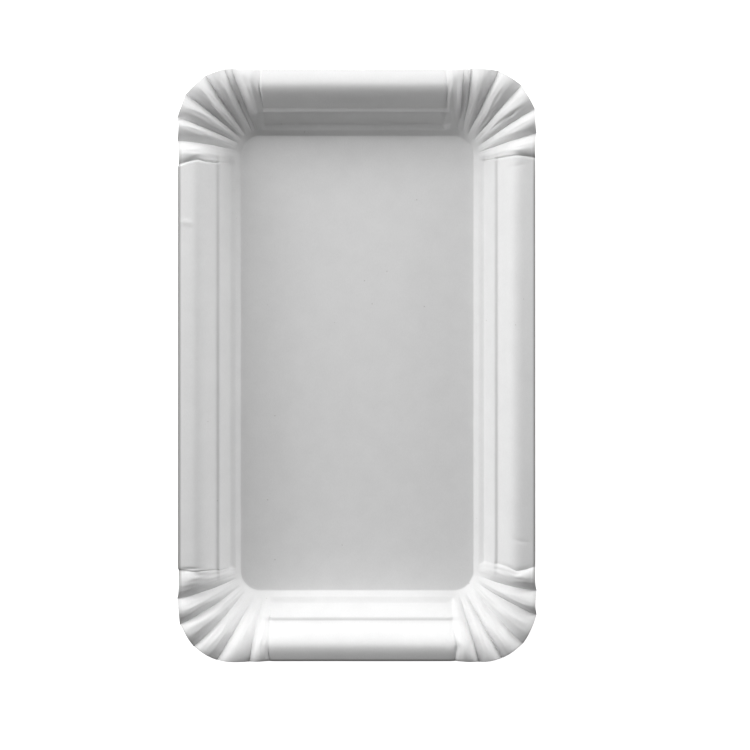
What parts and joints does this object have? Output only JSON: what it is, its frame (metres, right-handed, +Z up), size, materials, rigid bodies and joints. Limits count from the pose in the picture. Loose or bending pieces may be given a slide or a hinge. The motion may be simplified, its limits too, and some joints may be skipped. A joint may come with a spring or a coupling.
{
  "type": "rectangular paper plate",
  "caption": "Shallow rectangular plate pressed from one sheet of white board, with a flat floor, a ledge, a steep wall, a rolled rim and fanned ribs at the corners.",
  "frame": {"origin": "middle of the underside of the floor, on the surface the plate stands on", "axes": "+X across the plate, +Y along its length, +Z up out of its hollow"},
  "size_m": [0.1089, 0.1796, 0.0152],
  "materials": {
    "white_board": "white pressed board, lightly coated, matt with a soft sheen"
  },
  "bodies": {
    "root": {"plate": "white_board"}
  },
  "joints": []
}
